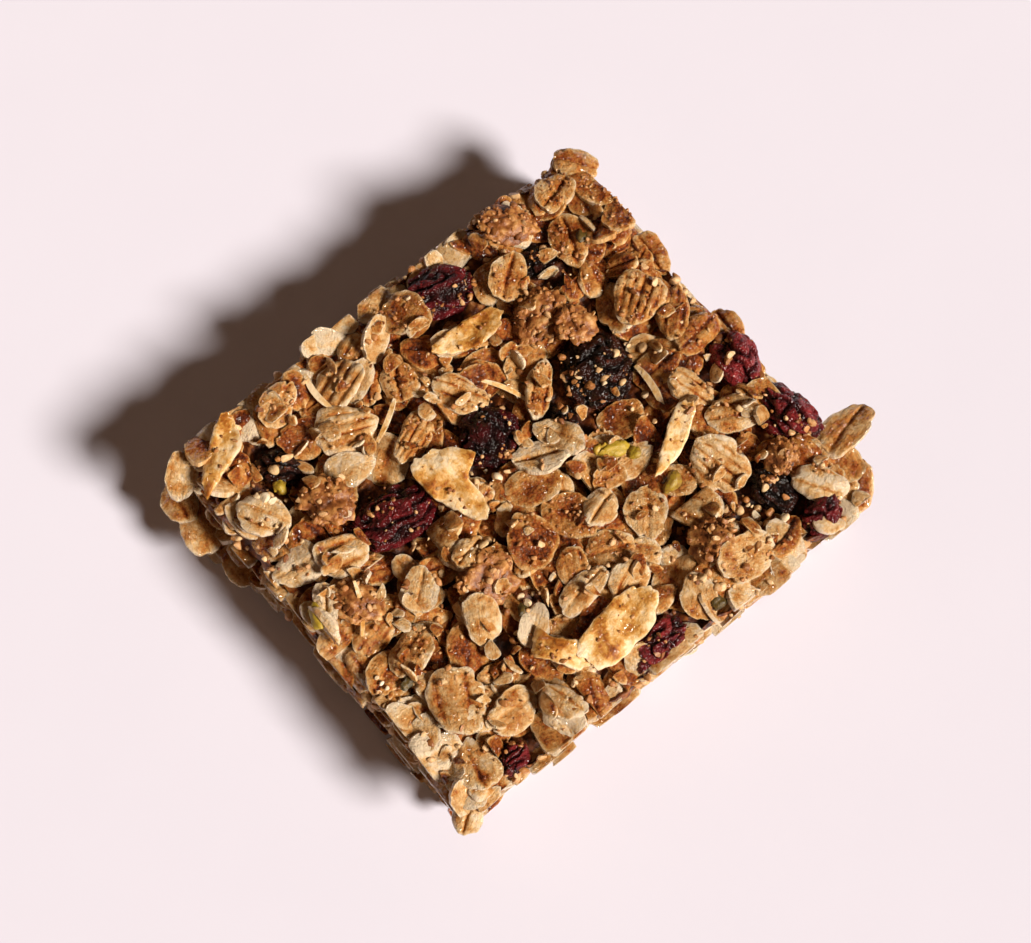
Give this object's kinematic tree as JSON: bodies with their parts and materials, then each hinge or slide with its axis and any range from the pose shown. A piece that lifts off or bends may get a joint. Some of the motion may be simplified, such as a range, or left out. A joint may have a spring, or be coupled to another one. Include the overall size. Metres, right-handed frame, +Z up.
{
  "type": "energy bar",
  "caption": "Square energy bar of pressed rolled oats, with dried cranberries, raisins, seeds and toasted coconut chips set in its top face.",
  "frame": {"origin": "middle of the bar's box, on the surface that its flat underside rests on", "axes": "+Z up; +X along the longer cut side; +Y along the shorter cut side"},
  "size_m": [0.0936, 0.0776, 0.0212],
  "materials": {
    "oats": "toasted oats in a thin honey glaze, half gloss",
    "cranberry": "dark red wrinkled dried fruit, sticky gloss",
    "raisin": "near-black wrinkled dried fruit, sticky gloss",
    "coconut": "cream coconut toasted golden brown, slight gloss"
  },
  "bodies": {
    "root": {"oat_bar": "oats", "cranberry_1": "cranberry", "cranberry_2": "cranberry", "cranberry_3": "cranberry", "cranberry_4": "cranberry", "cranberry_5": "cranberry", "cranberry_6": "cranberry", "cranberry_7": "cranberry", "cranberry_8": "cranberry", "raisin_1": "raisin", "raisin_2": "raisin", "raisin_3": "raisin", "raisin_4": "raisin", "raisin_5": "raisin", "coconut_chip_1": "coconut", "coconut_chip_2": "coconut", "coconut_chip_3": "coconut", "coconut_chip_4": "coconut", "coconut_chip_5": "coconut", "coconut_chip_6": "coconut"}
  },
  "joints": []
}
